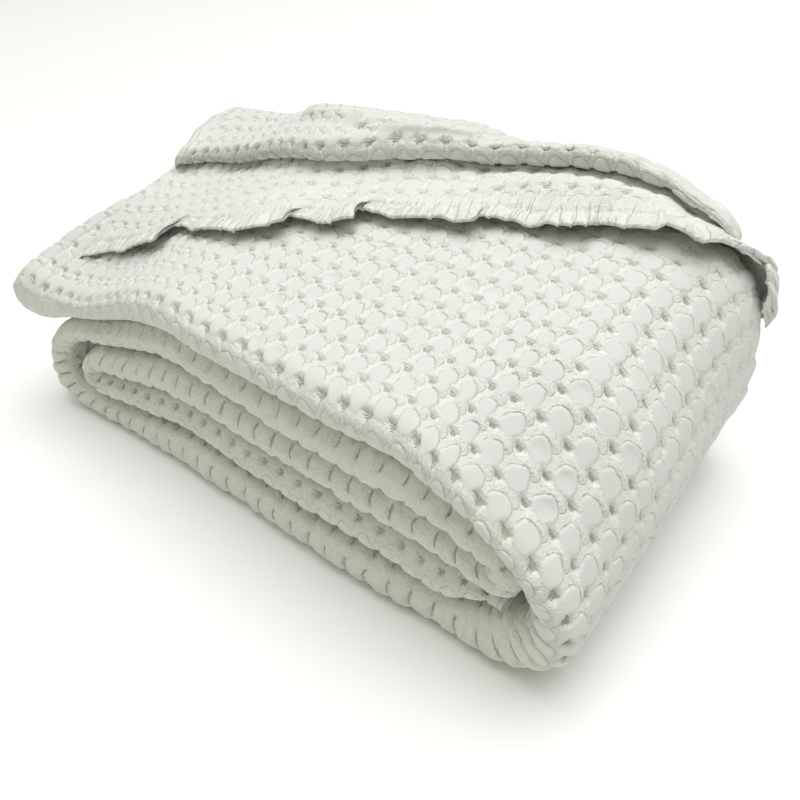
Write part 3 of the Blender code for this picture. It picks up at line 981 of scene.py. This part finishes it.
FLAP_UNDER = 0.80               # the turned-in side seen from below
FLAP_FALL = 0.35                # depth over which its two ends lie down
FLAP_ROWS = 5.0                 # its usual depth from the hem to the roll
SLOPE_SPAN = 3.0                # its slant is taken over this much on each side


def hem_table():
    """Columns: distance along the hem, place along the top."""
    along = np.linspace(FLAP_LEFT, FLAP_RIGHT, 1200)
    line = between(HEM_BASE, 1, along)
    steps = np.hypot(np.diff(along), np.diff(line))
    return np.concatenate(([0.0], np.cumsum(steps))), along


HEM_LENGTHS, HEM_PLACES = hem_table()


def flap_place(u, v):
    """Along the top, back and up from it on the flap.

    u runs along its hem from the left, v back from its edge.
    """
    along = np.interp(u, HEM_LENGTHS, HEM_PLACES)
    line = between(HEM_BASE, 1, along)
    slope = between(HEM_BASE, 1, along + SLOPE_SPAN) - between(HEM_BASE, 1, along - SLOPE_SPAN)
    slope = slope / (2.0 * SLOPE_SPAN)
    size = np.hypot(1.0, slope)
    rows = np.array(HEM_LINE)
    turn = math.pi / 2.0 * FLAP_HALF
    depth = np.maximum(np.abs(v) - turn, 0.0)
    bend = np.clip(v / turn, -1.0, 1.0) * math.pi / 2.0
    fade = 1.0 - ease(depth / HEM_FADE)
    w = along - depth * slope / size
    y = line + depth / size
    w = w + (np.interp(along, rows[:, 0], rows[:, 1]) - along) * (1.0 - ease(depth / STEP_FADE))
    y = y + (np.interp(along, rows[:, 0], rows[:, 2]) - line) * fade
    y = y - FLAP_HALF * np.cos(bend)
    raised = np.interp(along, rows[:, 0], rows[:, 3]) * (1.0 - ease(depth / (HEM_FADE + 0.6)))
    strip = 1.0 - ease((depth - HEM_WIDTH + 0.12) / 0.2)
    tuck = bell(soft_noise(u + depth * 0.15, 0.0, 21, 0.46), 0.0, 0.34)
    pleat = 0.05 * soft_noise(u, depth, 22, 0.9) + 0.04 - 0.13 * tuck
    edge = soft_noise(u, 0.0, 23, 0.80) * 0.08 + tuck * 0.10
    y = y + edge * (1.0 - ease(depth / HEM_WIDTH))
    seam = bell(depth, HEM_WIDTH, 0.09) * 0.08
    ends = np.minimum(u - SPARE, HEM_LENGTHS[-1] - u)
    fall = 1.0 - np.sqrt(np.clip(ends / FLAP_FALL, 0.0, 1.0))
    front = between(ROLL_LINE, 1, w)
    swell = np.maximum(between(ROLL_LINE, 2, w) - ROLL_REST, 0.0)
    swell = swell * ease((depth - 0.5) / np.maximum(front - line - 1.0, 0.5))
    out = FLAP_REST + raised + pleat * strip - seam + swell
    tucked = ease((y - front) / 0.7) * (w < ROLL_RIGHT)
    out = out * (1.0 - tucked) + between(ROLL_LINE, 2, w) * tucked
    out = (out + FLAP_HALF * np.sin(bend)) * (1.0 - fall) + 0.06 * fall
    over = np.maximum(y - FLAP_OVER, 0.0)
    return w, y - over + FLAP_BEND * np.sin(np.minimum(over, 1.2)), out - over ** 2 * FLAP_DROP


def flap_point(u, v):
    """Place on the flap."""
    return lift(*flap_place(u, v))


ROLL_REST = 0.64                # the roll lies this high where it isn't propped up
ROLL_NOSE = 1.10                # its front is this much longer than high
ROLL_ROWS = 1.2                 # weave rows round its front
ROLL_UNDER = 1.6                # weave rows seen below it
ROLL_BEND = 0.60                # radius of the bend at its back
ROLL_DEEP = 12.0                # weave rows round it in all
ROLL_LEFT_END = 0.28            # depth over which its left end closes
ROLL_RIGHT_END = 0.70           # and its right end
ROLL_LOW = 0.12                 # height of its closed left end
ROLL_STRIP = 0.95               # width of the sewn strip at its left end
ROLL_WANDER = ((0.10, 32, 3.3), (0.06, 33, 1.2))
# from the crest down behind the top band and in under it: depth, height
ROLL_BACK = ((7.26, 0.0), (7.05, -0.35), (6.86, -0.84), (6.62, -1.42), (6.25, -1.70),
             (5.85, -1.79), (5.20, -1.79))


def roll_rise(w, y):
    """Second ply on top of the roll, and its full back."""
    full = 0.30 * (1.0 - ramp(w, 18.0, 4.0)) * ramp(y, 3.4, 2.6)
    return full + 0.24 * ramp(w, 9.3, 0.9) * (1.0 - ramp(w, 17.0, 4.5)) * ramp(y, 2.9, 0.6)


def roll_section(w):
    """Net of one section of the roll: places and the weave rows at them."""
    front, low, thick = (float(between(ROLL_LINE, column, w)) for column in (1, 2, 3))
    nose = thick / 2.0
    start = front + nose * ROLL_NOSE
    places, rows = [], []
    for share in np.arange(8) / 8.0:
        under = ROLL_UNDER * (1.0 - share)
        places.append((start + under, low))
        rows.append(-ROLL_ROWS - under)
    for share in np.arange(25) / 24.0:
        angle = math.pi * (share - 0.5)
        places.append((start - nose * ROLL_NOSE * math.cos(angle), low + nose + nose * math.sin(angle)))
        rows.append(-ROLL_ROWS + ROLL_ROWS * share)
    crest_end = ROLL_BACK_Y - ROLL_BEND
    for share in np.arange(1, 41) / 40.0:
        y = start + (crest_end - start) * share
        places.append((y, low + thick + float(roll_rise(w, y))))
    top = places[-1][1]
    for share in np.arange(1, 7) / 6.0:
        angle = math.pi / 2.0 * share
        y = crest_end + ROLL_BEND * math.sin(angle)
        places.append((y, top - ROLL_BEND * (1.0 - math.cos(angle))))
    places += ROLL_BACK
    places = np.array(places)
    steps = np.hypot(*np.diff(places, axis=0).T)
    rows = np.array(rows)
    rows = np.concatenate((rows, np.cumsum(steps[len(rows) - 1:])))
    return places, rows


ROLL_W = np.linspace(ROLL_LEFT - 0.2, ROLL_RIGHT + 0.2, 150)
ROLL_V = positions((-ROLL_ROWS - ROLL_UNDER, 14.0, 16))


def roll_table():
    """Depth and height of the roll's skin, by place along the top and weave row."""
    depth = np.zeros((len(ROLL_W), len(ROLL_V)))
    height = np.zeros_like(depth)
    for index, w in enumerate(ROLL_W):
        places, rows = roll_section(w)
        depth[index] = np.interp(ROLL_V, rows, places[:, 0])
        height[index] = np.interp(ROLL_V, rows, places[:, 1])
    kernel = np.ones(5) / 5.0
    smooth = []
    for values in (depth, height):
        padded = np.pad(values, ((0, 0), (2, 2)), mode="edge")
        smooth.append(np.stack([np.convolve(row, kernel, mode="valid") for row in padded]))
    return smooth


ROLL_DEPTH, ROLL_HEIGHT = roll_table()


def on_roll(w, v):
    """Depth and height on the roll, between the worked-out places."""
    i = np.clip((w - ROLL_W[0]) / (ROLL_W[1] - ROLL_W[0]), 0.0, len(ROLL_W) - 1.001)
    j = np.clip((v - ROLL_V[0]) / (ROLL_V[1] - ROLL_V[0]), 0.0, len(ROLL_V) - 1.001)
    a, b = i.astype(int), j.astype(int)
    i, j = i - a, j - b
    return [(table[a, b] * (1.0 - i) + table[a + 1, b] * i) * (1.0 - j)
            + (table[a, b + 1] * (1.0 - i) + table[a + 1, b + 1] * i) * j
            for table in (ROLL_DEPTH, ROLL_HEIGHT)]


def roll_point(u, v):
    """Place on the roll: u along it from its left end, v back from its crest's front."""
    w = ROLL_LEFT + u
    y, out = on_roll(w, v)
    front, low, thick = (between(ROLL_LINE, column, w) for column in (1, 2, 3))
    ends = np.minimum((u - SPARE) / ROLL_LEFT_END, (ROLL_RIGHT - w) / ROLL_RIGHT_END)
    full = (1.0 - (1.0 - np.clip(ends, 0.0, 1.0)) ** 2) ** 0.4
    raised = ease(u / 3.0) * ease((ROLL_RIGHT - w) / 0.9)
    middle = ROLL_LOW + (low + thick / 2.0 - ROLL_LOW) * raised
    core = np.where(out > 0.0, middle, out)
    out = core + (out - core) * full
    inner = np.clip(y, front + 0.3, 6.55)
    y = inner + (y - inner) * full
    strip = 1.0 - ease((u - ROLL_STRIP + 0.1) / 0.25)
    out = out + strip * 0.07 * soft_noise(u * 0.3, v, 31, 0.30)
    y = y + uneven(u, 0.0, ROLL_WANDER) * ramp(v, 1.5, -2.0)
    out = out + 0.08 * thick * soft_noise(u, v, 34, 2.7) * ramp(v, -1.2, 1.2)
    slant = 0.95 * ramp(y, 2.0, -2.2) + 0.50 * ramp(y, 2.5, 2.2)
    return lift(w + slant * (1.0 - ease(u / 3.5)), y, out)


def roll_length(w):
    """Weave rows from the crest's front to the tucked-in end, along the top."""
    ends = np.array([roll_section(place)[1][-1] for place in ROLL_W[::6]])
    return np.interp(w, ROLL_W[::6], ends)


def whole_columns(length):
    """Columns of a sheet that begins on a whole cell."""
    return positions((0.0, math.floor(length), FINE), (math.floor(length), length, FINE))


class BLANKET_OT_flap(bpy.types.Operator):
    """Make the flap with its hem"""
    bl_idname = "blanket.flap"
    bl_label = "Flap"

    def execute(self, context):
        length = HEM_LENGTHS[-1]
        columns = whole_columns(length)
        rows = positions((-FLAP_UNDER, -0.2, 5), (-0.2, 0.2, 30), (0.2, 1.0, 15), (1.0, 10.0, FINE))

        def flap_relief(u, v):
            ends = np.minimum(u, length - u)
            return ramp(v, HEM_WIDTH + 0.12, 0.45) * ramp(ends, 0.1, 0.4) * 0.85

        net = weave_net(columns, rows, flap_point, flap_relief)
        w, y, _ = flap_place(*np.meshgrid(columns, rows))
        under_roll = between(ROLL_LINE, 1, w) + np.where(w < ROLL_RIGHT - 0.4, 1.0, 2.0)
        keep = ((y < under_roll) | (w < ROLL_LEFT + 0.5)) & (y < FLAP_BACK)
        piece = lay_weave("flap", net, keep=keep[:-1, :-1])
        declare(piece, (length * CELL, (FLAP_ROWS + FLAP_UNDER) * CELL))
        return {"FINISHED"}


class BLANKET_OT_roll(bpy.types.Operator):
    """Make the round roll above the flap"""
    bl_idname = "blanket.roll"
    bl_label = "Roll"

    def execute(self, context):
        length = ROLL_RIGHT - ROLL_LEFT
        columns = whole_columns(length)
        rows = positions((-ROLL_ROWS - ROLL_UNDER, -2.0, 6), (-2.0, 7.5, FINE), (7.5, 13.5, 8))

        def roll_relief(u, v):
            back = roll_length(ROLL_LEFT + u)
            thick = np.clip(between(ROLL_LINE, 3, ROLL_LEFT + u) / 0.5, 0.0, 1.0)
            ends = ramp(u, ROLL_STRIP - 0.05, 0.35) * ramp(length - u, 0.1, 0.4)
            return ends * ramp(v, back - 1.2, -0.8) * thick

        def roll_open(u, v):
            return ramp(v, 0.3, -0.5) * ramp(v, -1.6, 0.5) * 0.7

        net = weave_net(columns, rows, roll_point, roll_relief, roll_open)
        u, v = np.meshgrid(columns, rows)
        keep = (v < roll_length(ROLL_LEFT + u))[:-1, :-1]
        piece = lay_weave("roll", net, keep=keep)
        declare(piece, (length * CELL, ROLL_DEEP * CELL))
        return {"FINISHED"}


# ---- the stage, in metres ----------------------------------------------------
FLOOR_HALF, FLOOR_LOW = 6.0, 0.0005
LAMP_PLACE, LAMP_AIM, LAMP_WIDTH = Vector((0.3, 0.45, 2.9)), Vector((0.0, 0.0, 0.08)), 2.5
CAMERA_PLACE = (0.3527, -0.3489, 0.4125)
CAMERA_TURN = (51.355, 3.909, 39.616)       # in degrees
SIDE_TONE, OVERHEAD_TONE = (1.0, 0.985, 0.75, 1.0), (0.97, 0.98, 1.0, 1.0)


class BLANKET_OT_stage(bpy.types.Operator):
    """Make the floor, the light and the camera"""
    bl_idname = "blanket.stage"
    bl_label = "Stage"

    def execute(self, context):
        scene = context.scene
        settings = scene.waffle_stage
        mesh = bpy.data.meshes.new("floor")
        corners = ((-1, -1), (1, -1), (1, 1), (-1, 1))
        mesh.from_pydata([(x * FLOOR_HALF, y * FLOOR_HALF, -FLOOR_LOW) for x, y in corners], [],
                         [(0, 1, 2, 3)])
        floor = bpy.data.objects.new("floor", mesh)
        scene.collection.objects.link(floor)
        material = bpy.data.materials.new("floor paint")
        material.use_nodes = True
        shader = material.node_tree.nodes["Principled BSDF"]
        shader.inputs["Base Color"].default_value = (*settings.floor, 1.0)
        shader.inputs["Roughness"].default_value = 0.9
        floor.data.materials.append(material)

        world = bpy.data.worlds.new("studio")
        world.use_nodes = True
        tree = world.node_tree
        back = tree.nodes["Background"]
        place = tree.nodes.new("ShaderNodeTexCoord")
        parts = tree.nodes.new("ShaderNodeSeparateXYZ")
        tree.links.new(place.outputs["Generated"], parts.inputs["Vector"])
        height = Term(tree, parts.outputs["Z"]).step(0.30, 1.0)
        level = height * (settings.overhead - settings.around) + settings.around
        tree.links.new(level.socket, back.inputs["Strength"])
        tone = tree.nodes.new("ShaderNodeMix")
        tone.data_type = "RGBA"
        tree.links.new(height.socket, tone.inputs["Factor"])
        tone.inputs["A"].default_value = SIDE_TONE
        tone.inputs["B"].default_value = OVERHEAD_TONE
        tree.links.new(tone.outputs["Result"], back.inputs["Color"])
        scene.world = world
        scene.view_settings.view_transform = "Standard"

        data = bpy.data.lights.new("lamp", "AREA")
        data.energy = settings.lamp
        data.size = LAMP_WIDTH
        lamp = bpy.data.objects.new("lamp", data)
        lamp.location = LAMP_PLACE
        lamp.rotation_euler = (LAMP_AIM - LAMP_PLACE).to_track_quat("-Z", "Y").to_euler()
        scene.collection.objects.link(lamp)

        data = bpy.data.cameras.new("camera")
        data.lens = settings.lens
        data.sensor_width = 36.0
        data.clip_start = 0.01
        camera = bpy.data.objects.new("camera", data)
        camera.location = CAMERA_PLACE
        camera.rotation_euler = [math.radians(angle) for angle in CAMERA_TURN]
        scene.collection.objects.link(camera)
        scene.camera = camera
        return {"FINISHED"}


class BLANKET_PT_panel(bpy.types.Panel):
    """Sidebar panel with the blanket's pieces"""
    bl_idname = "BLANKET_PT_panel"
    bl_label = "Folded waffle blanket"
    bl_space_type = "VIEW_3D"
    bl_region_type = "UI"
    bl_category = "Blanket"

    def draw(self, context):
        layout = self.layout
        for name in BlanketSettings.__annotations__:
            layout.prop(context.scene.waffle_blanket, name)
        for name in StageSettings.__annotations__:
            layout.prop(context.scene.waffle_stage, name)
        for operator in OPERATORS:
            layout.operator(operator.bl_idname)


OPERATORS = (BLANKET_OT_top, BLANKET_OT_turns, BLANKET_OT_inner, BLANKET_OT_flap, BLANKET_OT_roll,
             BLANKET_OT_stage)
CLASSES = (BlanketSettings, StageSettings) + OPERATORS + (BLANKET_PT_panel,)


def register():
    for item in CLASSES:
        bpy.utils.register_class(item)
    bpy.types.Scene.waffle_blanket = bpy.props.PointerProperty(type=BlanketSettings)
    bpy.types.Scene.waffle_stage = bpy.props.PointerProperty(type=StageSettings)


def unregister():
    del bpy.types.Scene.waffle_stage
    del bpy.types.Scene.waffle_blanket
    for item in reversed(CLASSES):
        bpy.utils.unregister_class(item)


def main():
    register()
    bpy.ops.blanket.top()
    bpy.ops.blanket.turns()
    bpy.ops.blanket.inner()
    bpy.ops.blanket.flap()
    bpy.ops.blanket.roll()
    bpy.ops.blanket.stage()


if __name__ == "__main__":
    main()
